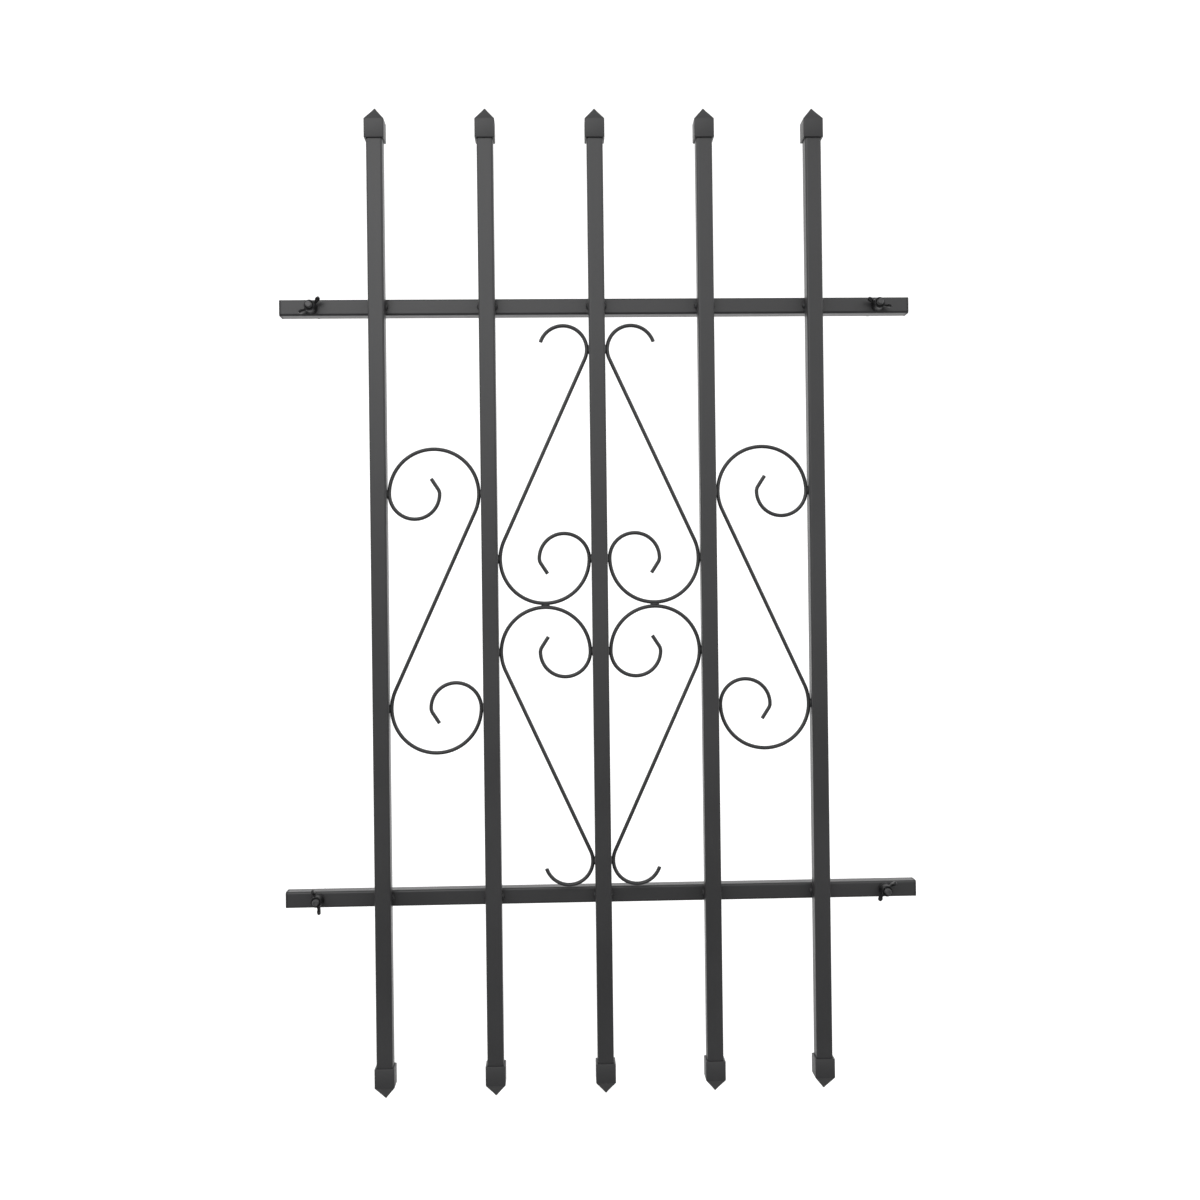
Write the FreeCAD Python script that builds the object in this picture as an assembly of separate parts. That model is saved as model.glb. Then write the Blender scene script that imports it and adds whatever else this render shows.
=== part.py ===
import FreeCAD, Part
import math
import os

from FreeCAD import Vector

# Window security bar: five upright bars of square tube welded to the front of two level rails,
# with wire scrolls welded between the bars, and four studs with wing nuts that hold it to a window.
#
# Frame, in millimetres: X to the right and Z up as seen from the room, Y away from the room.
# The origin is the centre of the four studs, on the plane where their collars meet the window.

# Bars
bar_count = 5
bar_pitch = 101.6
bar_size = 15.0
bar_wall = 1.2
bar_corner = 2.0
overall_height = 914.4

# Rails
rail_size = 15.0
rail_wall = 1.2
rail_corner = 2.0
rail_spacing = 550.0
rail_overhang = 91.5        # from the outer bar's centre to the rail's end

# Pointed caps on the bars' ends
cap_clearance = 0.15
cap_wall = 1.5
cap_sleeve = 17.5
cap_ceiling = 1.0           # solid depth between the bar's end and the foot of the point
cap_point = 12.0
cap_tip = 0.8
cap_corner = 0.8
cap_tip_corner = 0.2

# Plugs in the rails' ends
plug_head = 2.0
plug_stem = 12.0
plug_wall = 1.4
plug_stem_clearance = 0.4
plug_rib_clearance = 0.05
plug_rib = 1.2
plug_rib_count = 2
plug_corner = 0.6

# Wire scrolls
wire_diameter = 3.5
scroll_gap = 0.3            # between a scroll and what it is welded to
c_scroll_height = 257.5
c_scroll_middle = -4.3      # where an upper and a lower scroll meet
s_scroll_height = 281.0
s_scroll_middle = 0.9
curl_second_radius = 23.3
curl_third_radius = 23.0
curl_eye_radius = 8.5
curl_eye_turn = 33.0
curl_eye_length = 11.5
hook_radius = 22.0
hook_end_angle = 18.0       # of the hook's free end above its centre's level

# Studs: machine thread in front, hexagonal collar, wood-screw thread behind
stud_inset = 29.7            # from the rail's end to the stud's axis
thread_diameter = 6.0
thread_front = 15.0         # from the rail's face to the stud's front end
thread_chamfer = 0.8
stud_hole_clearance = 0.3
collar_across_flats = 10.0
collar_thickness = 3.0
screw_diameter = 5.5
screw_length = 17.0
screw_point = 10.0

# Washers and wing nuts
washer_diameter = 12.0
washer_thickness = 1.6
washer_clearance = 0.2
nut_clearance = 0.08
nut_base_diameter = 12.0
nut_top_diameter = 10.5
nut_height = 9.0
wing_span = 24.0
wing_rise = 13.5            # from the washer to the wings' tips
wing_thickness = 3.0
wing_foot = 1.5
wing_turn = {"top_left": 37.0, "top_right": -20.0, "bottom_left": -74.0, "bottom_right": 46.0}

# Weld tacks
rail_weld_radius = 2.4
rail_weld_length = 7.0
scroll_weld_radius = 2.0
scroll_weld_length = 8.0

# Places that follow from the sizes above
rail_back = -collar_thickness
rail_front = rail_back - rail_size
rail_middle = (rail_back + rail_front) / 2
bar_front = rail_front - bar_size
bar_middle = (rail_front + bar_front) / 2
bar_xs = [(i - (bar_count - 1) / 2) * bar_pitch for i in range(bar_count)]
bar_length = overall_height - 2 * (cap_point + cap_ceiling)
rail_length = (bar_count - 1) * bar_pitch + 2 * rail_overhang
stud_spacing = rail_length - 2 * stud_inset
rail_heights = {"top": rail_spacing / 2, "bottom": -rail_spacing / 2}
wire_radius = wire_diameter / 2
curl_radius = (bar_pitch - bar_size - wire_diameter) / 2 - scroll_gap
washer_front = rail_front - washer_thickness
corners = {
    row + "_" + side: (sign * stud_spacing / 2, rail_heights[row])
    for row in ("top", "bottom")
    for side, sign in (("left", -1), ("right", 1))
}

ORIGIN = Vector(0, 0, 0)
TO_ROOM = Vector(0, -1, 0)
TO_WALL = Vector(0, 1, 0)
UP = Vector(0, 0, 1)
ALONG_RAIL = Vector(1, 0, 0)


def save(name, shape):
    """Write one sub-part and say how many solids it holds."""
    shape.exportStep("parts/" + name + ".step")
    print(name, len(shape.Solids), round(shape.Volume, 2))


# Square stock


def square_outline(size, radius):
    """Closed wire in the XY plane: a square about the Z axis with rounded corners."""
    half = size / 2
    straight = half - radius
    middle = straight + radius * math.sqrt(0.5)
    edges = []
    for quarter in range(4):
        turn = FreeCAD.Rotation(UP, 90 * quarter)
        start, end = Vector(half, -straight, 0), Vector(half, straight, 0)
        bend, after = Vector(middle, middle, 0), Vector(straight, half, 0)
        start, end, bend, after = [turn.multVec(p) for p in (start, end, bend, after)]
        edges.append(Part.LineSegment(start, end).toShape())
        edges.append(Part.Arc(end, bend, after).toShape())
    return Part.Wire(edges)


def square_bar(size, radius, length):
    """Solid square bar along Z, standing on the XY plane."""
    return Part.Face(square_outline(size, radius)).extrude(UP * length)


def square_tube(size, wall, radius, length):
    """Square tube along Z, standing on the XY plane."""
    hollow = square_bar(size - 2 * wall, radius - wall, length)
    return square_bar(size, radius, length).cut(hollow)


def bar_at(x, shape):
    """Move a piece made about the Z axis, centred in height, onto a bar's centre line."""
    return shape.translated(Vector(x, bar_middle, 0))


def along_rail(shape, height):
    """Turn a piece made along Z to lie along a rail, from the frame's middle to the right."""
    turned = shape.rotated(ORIGIN, TO_WALL, 90)
    return turned.translated(Vector(0, rail_middle, height))


def bar():
    """One upright bar, centred on its own middle."""
    tube = square_tube(bar_size, bar_wall, bar_corner, bar_length)
    return tube.translated(UP * (-bar_length / 2))


def bar_envelope():
    """The space that a bar fills, hollow included."""
    block = square_bar(bar_size, bar_corner, bar_length)
    return block.translated(UP * (-bar_length / 2))


def rail(height):
    """One rail tube with the two holes for its studs; its plugs' heads complete its length."""
    length = rail_length - 2 * plug_head
    tube = square_tube(rail_size, rail_wall, rail_corner, length)
    tube = along_rail(tube.translated(UP * (-length / 2)), height)
    for x in (-stud_spacing / 2, stud_spacing / 2):
        radius = thread_diameter / 2 + stud_hole_clearance
        start = Vector(x, rail_front - 1, height)
        tube = tube.cut(Part.makeCylinder(radius, rail_size + 2, start, TO_WALL))
    return tube


def rail_envelope(height):
    """The space that a rail fills, hollow included."""
    block = square_bar(rail_size, rail_corner, rail_length)
    return along_rail(block.translated(UP * (-rail_length / 2)), height)


# Caps and plugs


def cap():
    """Pointed sleeve cap for the top of a bar: its sleeve goes down over the tube."""
    outer = bar_size + 2 * (cap_clearance + cap_wall)
    shoulder = overall_height / 2 - cap_point
    sleeve = square_bar(outer, cap_corner, cap_sleeve)
    sleeve = sleeve.translated(UP * (shoulder - cap_sleeve))
    foot = square_outline(outer, cap_corner).translated(UP * shoulder)
    tip = square_outline(cap_tip, cap_tip_corner).translated(UP * (shoulder + cap_point))
    point = Part.makeLoft([foot, tip], True, True)
    depth = cap_sleeve - cap_ceiling
    socket = square_bar(bar_size + 2 * cap_clearance, cap_corner, depth)
    socket = socket.translated(UP * (shoulder - cap_sleeve))
    return sleeve.fuse(point).cut(socket).removeSplitter()


def plug(height):
    """Plug for the right-hand end of a rail: a flat head, and a ribbed hollow stem inside the tube."""
    bore = rail_size - 2 * rail_wall
    stem_size = bore - 2 * plug_stem_clearance
    stem_start = rail_length / 2 - plug_head - plug_stem
    body = square_tube(stem_size, plug_wall, plug_wall + plug_corner, plug_stem)
    hollow = square_bar(stem_size - 2 * plug_wall, plug_corner, plug_stem)
    for i in range(plug_rib_count):
        rib = square_bar(bore - 2 * plug_rib_clearance, rail_corner - rail_wall, plug_rib)
        place = (i + 1) * plug_stem / (plug_rib_count + 1)
        body = body.fuse(rib.cut(hollow).translated(UP * place))
    head = square_bar(rail_size, rail_corner, plug_head)
    body = body.fuse(head.translated(UP * plug_stem)).removeSplitter()
    return along_rail(body.translated(UP * stem_start), height)


# Scrolls


def tangent_run(point, heading, steps):
    """Points of straight runs and arcs, each tangent to the one before.

    A step is ("line", length) or ("arc", radius, turn). Headings and turns are in degrees from +X
    towards +Z. Returns two points for a line and three for an arc, as (x, z).
    """
    x, z = point
    pieces = []
    for step in steps:
        angle = math.radians(heading)
        if step[0] == "line":
            end = (x + step[1] * math.cos(angle), z + step[1] * math.sin(angle))
            pieces.append([(x, z), end])
        else:
            radius = math.copysign(step[1], step[2])
            centre_x = x - radius * math.sin(angle)
            centre_z = z + radius * math.cos(angle)
            arc = [(x, z)]
            for share in (0.5, 1.0):
                turned = math.radians(heading + share * step[2])
                across = centre_x + radius * math.sin(turned)
                arc.append((across, centre_z - radius * math.cos(turned)))
            pieces.append(arc)
            heading += step[2]
        x, z = pieces[-1][-1]
    return pieces


def curl(lean):
    """Steps of a curl that starts where a leg leaning this far from upright meets its big arc."""
    return [
        ("arc", curl_radius, lean + 180),
        ("arc", curl_second_radius, 90),
        ("arc", curl_third_radius, 90),
        ("arc", curl_eye_radius, curl_eye_turn),
        ("line", curl_eye_length),
    ]


def c_scroll_run():
    """Upper scroll left of the middle bar: hook at the top, curl at the bottom, about x = 0.

    The leg is the line that touches the hook's circle on its right and the curl's on its left.
    """
    curl_z = (wire_diameter + scroll_gap) / 2 + curl_radius
    hook_x = curl_radius - hook_radius
    hook_z = curl_z - curl_radius + c_scroll_height - hook_radius
    apart = math.hypot(hook_x, hook_z - curl_z)
    radii = curl_radius + hook_radius
    lean = math.degrees(math.asin(radii / apart) + math.atan2(hook_x, hook_z - curl_z))
    leg = math.sqrt(apart**2 - radii**2)
    end = math.radians(180 - hook_end_angle)
    start = (hook_x + hook_radius * math.cos(end), hook_z + hook_radius * math.sin(end))
    hook_turn = -(180 - hook_end_angle + lean)
    steps = [("arc", hook_radius, hook_turn), ("line", leg)] + curl(lean)
    return tangent_run(start, 90 - hook_end_angle, steps)


def s_scroll_run():
    """Left-hand S scroll about its own centre: a curl at each end of a leaning leg."""
    curl_z = s_scroll_height / 2 - curl_radius
    lean = math.asin(curl_radius / curl_z)
    foot = (-curl_radius * math.cos(lean), -curl_z + curl_radius * math.sin(lean))
    lean = math.degrees(lean)
    lower = tangent_run(foot, 270 - lean, curl(lean))
    upper = [[(-x, -z) for x, z in reversed(piece)] for piece in reversed(lower)]
    return upper + [[(-foot[0], -foot[1]), foot]] + lower


def scroll(name, run, centre, flip_x, flip_z):
    """Carry the round wire along a run placed about its centre, mirrored where flipped."""
    edges = []
    for piece in run:
        points = []
        for x, z in piece:
            place = (centre[0] + flip_x * x, centre[1] + flip_z * z)
            points.append(Vector(place[0], bar_middle, place[1]))
        curve = Part.LineSegment(*points) if len(points) == 2 else Part.Arc(*points)
        edges.append(curve.toShape())
    path = Part.Wire(edges)
    start = edges[0].firstVertex().Point
    direction = edges[0].tangentAt(edges[0].FirstParameter)
    section = Part.Wire([Part.makeCircle(wire_radius, start, direction)])
    solid = path.makePipeShell([section], True, False)
    share = solid.Volume / (math.pi * wire_radius**2 * path.Length)
    print(name, "volume over section times length", round(share, 5))
    return solid


# Fasteners


def stud(x, z):
    """Hanger stud: machine thread through the rail, collar behind it, then the wood-screw end."""
    radius = thread_diameter / 2
    front = rail_front - thread_front
    plain = rail_back - front - thread_chamfer
    start = Vector(x, front + thread_chamfer, z)
    shape = Part.makeCylinder(radius, plain, start, TO_WALL)
    tip_radius = radius - thread_chamfer
    tip = Part.makeCone(tip_radius, radius, thread_chamfer, Vector(x, front, z), TO_WALL)
    across_corners = collar_across_flats / math.cos(math.pi / 6)
    hexagon = []
    for i in range(7):
        angle = math.radians(60 * i + 30)
        place = Vector(math.cos(angle), 0, math.sin(angle)) * (across_corners / 2)
        hexagon.append(place + Vector(x, rail_back, z))
    collar = Part.Face(Part.makePolygon(hexagon)).extrude(TO_WALL * collar_thickness)
    screw = Part.makeCylinder(screw_diameter / 2, screw_length, Vector(x, 0, z), TO_WALL)
    end = Vector(x, screw_length, z)
    point = Part.makeCone(screw_diameter / 2, 0, screw_point, end, TO_WALL)
    return shape.multiFuse([tip, collar, screw, point]).removeSplitter()


def washer(x, z):
    """Flat round washer on the rail's face."""
    start = Vector(x, rail_front, z)
    disc = Part.makeCylinder(washer_diameter / 2, washer_thickness, start, TO_ROOM)
    hole = thread_diameter / 2 + washer_clearance
    return disc.cut(Part.makeCylinder(hole, washer_thickness, start, TO_ROOM))


def wing(side):
    """One wing of a nut, made about the origin with the nut's axis towards the room."""
    hub = nut_base_diameter / 2
    reach = wing_span / 2
    root = hub - 1.5
    low = Vector(side * (root + reach) / 2, -wing_foot - 1.5, 0)
    outer = Vector(side * reach, -0.62 * wing_rise, 0)
    shoulder = Vector(side * (reach - 1.6), -0.93 * wing_rise, 0)
    crest = Vector(side * (reach - 3.1), -wing_rise, 0)
    inner = Vector(side * (reach - 4.6), -0.93 * wing_rise, 0)
    foot = Vector(side * root, -wing_foot, 0)
    top = Vector(side * (root - 0.3), -nut_height + 0.8, 0)
    edges = [
        Part.LineSegment(foot, low).toShape(),
        Part.Arc(low, outer, shoulder).toShape(),
        Part.Arc(shoulder, crest, inner).toShape(),
        Part.LineSegment(inner, top).toShape(),
        Part.LineSegment(top, foot).toShape(),
    ]
    blade = Part.Face(Part.Wire(edges)).extrude(UP * wing_thickness)
    return blade.translated(UP * (-wing_thickness / 2))


def wing_nut(x, z, turn):
    """Wing nut seated on its washer, turned this far as seen from the room."""
    hub = Part.makeCone(nut_base_diameter / 2, nut_top_diameter / 2, nut_height, ORIGIN, TO_ROOM)
    body = hub.multiFuse([wing(-1), wing(1)]).removeSplitter()
    bore = thread_diameter / 2 + nut_clearance
    body = body.cut(Part.makeCylinder(bore, wing_rise, ORIGIN, TO_ROOM))
    return body.rotated(ORIGIN, TO_ROOM, turn).translated(Vector(x, washer_front, z))


# Welds


def bead(radius, length, centre, direction):
    """Round-ended bead of this overall length about a centre: half its outline, turned about its axis."""
    straight = length / 2 - radius
    side = radius * math.sqrt(0.5)
    low, high = Vector(0, 0, -length / 2), Vector(0, 0, length / 2)
    low_side, high_side = Vector(radius, 0, -straight), Vector(radius, 0, straight)
    edges = [
        Part.Arc(low, Vector(side, 0, -straight - side), low_side).toShape(),
        Part.LineSegment(low_side, high_side).toShape(),
        Part.Arc(high_side, Vector(side, 0, straight + side), high).toShape(),
        Part.LineSegment(high, low).toShape(),
    ]
    solid = Part.Face(Part.Wire(edges)).revolve(ORIGIN, UP, 360)
    solid.Placement = FreeCAD.Placement(centre, FreeCAD.Rotation(UP, direction))
    return solid


def rail_welds(height):
    """Two tacks beside each bar, in the corner that it makes with the rail's face."""
    rail_space = rail_envelope(height)
    tacks = []
    for x in bar_xs:
        bar_space = bar_at(x, bar_envelope())
        for side in (-1, 1):
            centre = Vector(x + side * bar_size / 2, rail_front, height)
            tack = bead(rail_weld_radius, rail_weld_length, centre, UP)
            tacks.append(tack.cut(bar_space).cut(rail_space))
    return Part.makeCompound(tacks)


def bar_weld(solid, x, side, z):
    """Tack between a scroll and the side of the bar at x that faces it, at height z."""
    centre = Vector(x + side * bar_size / 2, bar_middle, z)
    tack = bead(scroll_weld_radius, scroll_weld_length, centre, UP)
    return tack.cut(bar_at(x, bar_envelope())).cut(solid)


def s_scroll_welds(solid, bay_x):
    """Four tacks of an S scroll: each curl to the bar on either side."""
    curl_z = s_scroll_height / 2 - curl_radius
    tacks = []
    for z in (s_scroll_middle - curl_z, s_scroll_middle + curl_z):
        tacks.append(bar_weld(solid, bay_x - bar_pitch / 2, 1, z))
        tacks.append(bar_weld(solid, bay_x + bar_pitch / 2, -1, z))
    return tacks


def c_scroll_welds(solid, bay_x, flip_x, flip_z):
    """Three tacks of a C scroll: its curl to both bars, and its hook to the middle bar."""
    first = (wire_diameter + scroll_gap) / 2
    curl_z = c_scroll_middle + flip_z * (first + curl_radius)
    hook_z = c_scroll_middle + flip_z * (first + c_scroll_height - hook_radius)
    middle_side = bay_x + flip_x * bar_pitch / 2
    outer_side = bay_x - flip_x * bar_pitch / 2
    return [
        bar_weld(solid, outer_side, flip_x, curl_z),
        bar_weld(solid, middle_side, -flip_x, curl_z),
        bar_weld(solid, middle_side, -flip_x, hook_z),
    ]


def meeting_weld(upper, lower, bay_x):
    """Tack where an upper and a lower scroll meet."""
    centre = Vector(bay_x, bar_middle, c_scroll_middle)
    tack = bead(scroll_weld_radius, scroll_weld_length, centre, ALONG_RAIL)
    return tack.cut(upper).cut(lower)


def make_bars():
    for i, x in enumerate(bar_xs, 1):
        save("bar_" + str(i), bar_at(x, bar()))
        save("cap_top_" + str(i), bar_at(x, cap()))
        save("cap_bottom_" + str(i), bar_at(x, cap().rotated(ORIGIN, ALONG_RAIL, 180)))


def make_rails():
    for row, height in rail_heights.items():
        save("rail_" + row, rail(height))
        save("rail_welds_" + row, rail_welds(height))
        right = plug(height)
        save("rail_plug_" + row + "_right", right)
        save("rail_plug_" + row + "_left", right.mirror(ORIGIN, ALONG_RAIL))


def make_scrolls():
    outer_welds, curl_welds, meeting_welds = [], [], []
    for side, flip_x in (("left", 1), ("right", -1)):
        outer_x = -flip_x * 1.5 * bar_pitch
        inner_x = -flip_x * 0.5 * bar_pitch
        name = "scroll_" + side
        solid = scroll(name, s_scroll_run(), (outer_x, s_scroll_middle), flip_x, 1)
        save(name, solid)
        outer_welds += s_scroll_welds(solid, outer_x)
        pair = []
        for row, flip_z in (("upper", 1), ("lower", -1)):
            name = "scroll_" + row + "_" + side
            centre = (inner_x, c_scroll_middle)
            solid = scroll(name, c_scroll_run(), centre, flip_x, flip_z)
            save(name, solid)
            curl_welds += c_scroll_welds(solid, inner_x, flip_x, flip_z)
            pair.append(solid)
        meeting_welds.append(meeting_weld(pair[0], pair[1], inner_x))
    save("scroll_welds_outer", Part.makeCompound(outer_welds))
    save("scroll_welds_middle", Part.makeCompound(curl_welds))
    save("scroll_welds_meeting", Part.makeCompound(meeting_welds))


def make_fasteners():
    for corner, (x, z) in corners.items():
        save("stud_" + corner, stud(x, z))
        save("washer_" + corner, washer(x, z))
        save("wing_nut_" + corner, wing_nut(x, z, wing_turn[corner]))


os.makedirs("parts", exist_ok=True)
make_bars()
make_rails()
make_scrolls()
make_fasteners()
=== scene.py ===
import math

import bmesh
import bpy
import numpy as np
from bpy.props import FloatProperty, FloatVectorProperty, PointerProperty
from mathutils import Matrix, Vector


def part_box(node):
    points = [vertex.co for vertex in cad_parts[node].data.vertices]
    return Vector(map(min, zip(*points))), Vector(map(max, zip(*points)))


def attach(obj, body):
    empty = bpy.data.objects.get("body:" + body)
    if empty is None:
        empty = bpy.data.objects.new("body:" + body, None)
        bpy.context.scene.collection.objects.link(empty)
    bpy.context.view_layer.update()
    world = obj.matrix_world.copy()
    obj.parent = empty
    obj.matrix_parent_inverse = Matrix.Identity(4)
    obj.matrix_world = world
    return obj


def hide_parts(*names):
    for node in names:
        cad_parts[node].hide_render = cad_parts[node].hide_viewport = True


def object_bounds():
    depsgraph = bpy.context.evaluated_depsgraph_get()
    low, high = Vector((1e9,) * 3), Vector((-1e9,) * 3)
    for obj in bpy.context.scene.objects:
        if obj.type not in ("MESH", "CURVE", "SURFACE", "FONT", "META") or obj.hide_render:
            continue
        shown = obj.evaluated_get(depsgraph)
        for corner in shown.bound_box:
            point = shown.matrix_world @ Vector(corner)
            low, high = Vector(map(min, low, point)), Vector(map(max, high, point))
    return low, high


bl_info = {
    "name": "Window Grille Maker",
    "version": (1, 0, 0),
    "blender": (4, 5, 0),
    "location": "View3D > Sidebar > Grille",
    "description": "Makes the finished pieces and coatings of a welded window grille around its frame",
    "category": "Object",
}

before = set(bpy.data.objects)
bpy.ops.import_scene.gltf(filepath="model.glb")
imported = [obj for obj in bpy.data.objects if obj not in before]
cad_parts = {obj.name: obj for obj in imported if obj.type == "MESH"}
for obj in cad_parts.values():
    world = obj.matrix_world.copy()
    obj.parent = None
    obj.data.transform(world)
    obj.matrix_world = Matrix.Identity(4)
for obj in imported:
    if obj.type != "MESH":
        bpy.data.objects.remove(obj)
cad_box = [list(corner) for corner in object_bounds()]

# Places read from the frame, in metres: X to the right, Y away from the room, Z up.

MM = 0.001
BODY = "grille"
SIDES = {"left": -1, "right": 1}
ROWS = {"top": 1, "bottom": -1}
CORNERS = [row + "_" + side for row in ROWS for side in SIDES]


def middle_of(node):
    """Centre of a node's box."""
    low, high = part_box(node)
    return (low + high) / 2


def size_of(node):
    """Size of a node's box."""
    low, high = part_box(node)
    return high - low


BAR_NODES = sorted(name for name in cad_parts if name.startswith("bar_"))
BAR_XS = [middle_of(name).x for name in BAR_NODES]
BAR_PITCH = BAR_XS[1] - BAR_XS[0]
BAR_SIZE = size_of("bar_1").x
BAR_Y = middle_of("bar_1").y
BAR_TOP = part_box("bar_1")[1].z
RAIL_FRONT, RAIL_BACK = (corner.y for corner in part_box("rail_top"))
RAIL_ZS = {row: middle_of("rail_" + row).z for row in ROWS}
WIRE = size_of("scroll_left").y
CAP_LOW, CAP_HIGH = (corner.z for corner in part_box("cap_top_3"))
CAP_SIZE = size_of("cap_top_3").x
WASHER_SIZE = size_of("washer_top_left")
NUT_RISE = size_of("wing_nut_top_left").y
STUD_FRONT, STUD_BACK = (corner.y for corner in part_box("stud_top_left"))
COLLAR_FLATS = size_of("stud_top_left").x


def length(name, description, millimetres):
    """A size that a user can change."""
    return FloatProperty(
        name=name, description=description, default=millimetres * MM, unit="LENGTH",
        subtype="DISTANCE", precision=5,
    )


def angle(name, description, degrees):
    """An angle that a user can change."""
    return FloatProperty(
        name=name, description=description, default=math.radians(degrees), subtype="ANGLE"
    )


def colour(name, description, value):
    """A colour that a user can change, in linear red, green and blue."""
    return FloatVectorProperty(
        name=name, description=description, default=value, size=3, subtype="COLOR",
        min=0.0, max=1.0,
    )


class GrilleSizes(bpy.types.PropertyGroup):
    """Sizes of the pieces that this add-on makes."""

    scroll_gap: length("Scroll gap", "Gap that a weld bridges beside a scroll", 0.3)
    c_scroll_height: length("C scroll height", "From hook to curl, along the wire's centre", 257.5)
    c_scroll_middle: length("C scroll middle", "Height where upper and lower scrolls meet", -4.3)
    s_scroll_height: length("S scroll height", "From curl to curl, along the wire's centre", 281.0)
    second_radius: length("Second radius", "Radius of a curl's second arc", 23.3)
    third_radius: length("Third radius", "Radius of a curl's third arc", 23.0)
    eye_radius: length("Eye radius", "Radius of the last arc in a curl's eye", 8.5)
    eye_turn: angle("Eye turn", "How far the last arc turns", 33.0)
    eye_length: length("Eye length", "Straight end of the wire in the eye", 11.5)
    hook_radius: length("Hook radius", "Radius of a C scroll's hook", 22.0)
    hook_end: angle("Hook end", "How far the hook's free end stands above its centre", 18.0)
    cap_point: length("Cap point", "Height of a cap's pyramid", 12.0)
    cap_edge: length("Cap edge", "Radius of a cap's rounded edges", 0.9)
    cap_tip: length("Cap tip", "Radius of a cap's blunt tip", 0.6)
    cap_rim: length("Cap rim", "Rounding of a sleeve's rim outside", 0.4)
    cap_chamfer: length("Cap chamfer", "Width of the chamfer in a sleeve's mouth", 0.25)
    cap_gap: length("Cap gap", "Gap between a bar and its cap's sleeve", 0.1)
    weld_across: length("Weld radius", "How far a rail tack stands out of its corner", 2.3)
    weld_along: length("Weld half length", "Half the length of a rail tack", 3.4)
    scroll_weld_across: length("Scroll weld radius", "How far a scroll tack stands out", 1.9)
    scroll_weld_along: length("Scroll weld half length", "Half the length of a scroll tack", 4.0)
    thread_radius: length("Thread radius", "Radius of the machine thread's crests", 3.0)
    thread_pitch: length("Thread pitch", "Advance of the machine thread in a turn", 1.0)
    thread_depth: length("Thread depth", "Depth of the machine thread", 0.55)
    thread_chamfer: length("Thread chamfer", "Chamfer on the stud's front end", 0.75)
    thread_fade: length("Thread fade", "Length over which the thread runs out", 3.0)
    collar_chamfer: length("Collar chamfer", "Chamfer on both faces of the collar", 0.5)
    screw_radius: length("Screw radius", "Radius of the wood-screw thread's crests", 2.75)
    screw_pitch: length("Screw pitch", "Advance of the wood-screw thread in a turn", 2.5)
    screw_depth: length("Screw depth", "Depth of the wood-screw thread", 0.8)
    screw_start: length("Screw start", "Length over which the wood-screw thread deepens", 1.5)
    screw_point: length("Screw point", "Length of the wood screw's taper", 10.0)
    washer_bore: length("Washer bore", "Radius of a washer's hole", 3.2)
    washer_edge: length("Washer edge", "Radius of a washer's edges", 0.35)
    nut_base: length("Nut base", "Diameter of a wing nut's foot", 12.0)
    nut_top: length("Nut top", "Diameter of a wing nut's upper end", 10.2)
    nut_height: length("Nut height", "Height of a wing nut's hub", 9.0)
    nut_bore: length("Nut bore", "Radius of a wing nut's bore", 3.2)
    nut_edge: length("Nut edge", "Radius of a wing nut's upper edge", 0.7)
    nut_foot_edge: length("Nut foot edge", "Radius of a wing nut's lower edge", 0.5)
    nut_mouth: length("Nut mouth", "Chamfer at both ends of a wing nut's bore", 0.6)
    wing_reach: length("Wing reach", "From a nut's axis to a wing's tip", 12.0)
    wing_thickness: length("Wing thickness", "Thickness of a wing", 3.0)
    wing_grain: length("Wing grain", "Size of the cells that blend the wings into the hub", 0.2)
    wing_turns: FloatVectorProperty(
        name="Wing turns", description="How far each nut is turned anticlockwise, seen from the room",
        default=[math.radians(a) for a in (37.0, -20.0, -74.0, 46.0)], size=4, unit="ROTATION",
    )


class GrilleColours(bpy.types.PropertyGroup):
    """Colours of the coatings."""

    coat: colour("Powder coat", "Satin black on the tubes", (0.024, 0.024, 0.025))
    wire: colour("Wire coat", "Satin black on the scrolls and welds", (0.019, 0.019, 0.020))
    cap: colour("Cap coat", "Satin black on the pointed caps", (0.021, 0.021, 0.022))
    # Painted sheen: the studs' black plating gets a lighter colour than the nuts' zinc, so that the
    # studs' ends look as bright as the lit powder coat.
    stud: colour("Stud zinc with painted sheen", "Black plating on the studs, lightened as a painted sheen on their ends", (0.055, 0.055, 0.056))
    zinc: colour("Black zinc", "Plating on the washers and nuts", (0.014, 0.014, 0.015))
    plastic: colour("Plastic", "Moulded plugs in the rails' ends", (0.012, 0.012, 0.013))
    floor: colour("Floor", "Plain pale floor and backdrop", (0.78, 0.78, 0.78))


class GrilleStage(bpy.types.PropertyGroup):
    """Camera and studio."""

    distance: length("Camera distance", "From the camera to the middle of the bars", 1177.0)
    azimuth: angle("Azimuth", "Camera's place round the grille, to the right of straight ahead", -1.8)
    elevation: angle("Elevation", "Camera's place above level", -0.2)
    roll: angle("Roll", "Camera's turn about its own line of sight", -0.7)
    fill: FloatProperty(
        name="Fill", description="Share of the picture's height that the grille takes",
        default=0.82, subtype="FACTOR",
    )
    sky_light: FloatProperty(
        name="Sky light", description="Brightness of the surroundings above the horizon", default=1.35
    )
    ground_share: FloatProperty(
        name="Ground share", description="Brightness below the horizon, as a share of the sky's",
        default=0.22, subtype="FACTOR",
    )
    overhead_share: FloatProperty(
        name="Overhead share", description="Brightness overhead, as a share of the sky's",
        default=0.45, subtype="FACTOR",
    )
    floor_glow: FloatProperty(
        name="Floor glow", description="Light that the backdrop gives out by itself", default=0.36
    )
    floor_drop: length("Floor drop", "From the lowest points down to the floor", 150.0)
    key_power: FloatProperty(
        name="Key power", description="Power of the high softbox on the left", default=24.0, unit="POWER"
    )
    side_power: FloatProperty(
        name="Side power", description="Power of the softbox on the right", default=4.0, unit="POWER"
    )


# Surfaces


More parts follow.
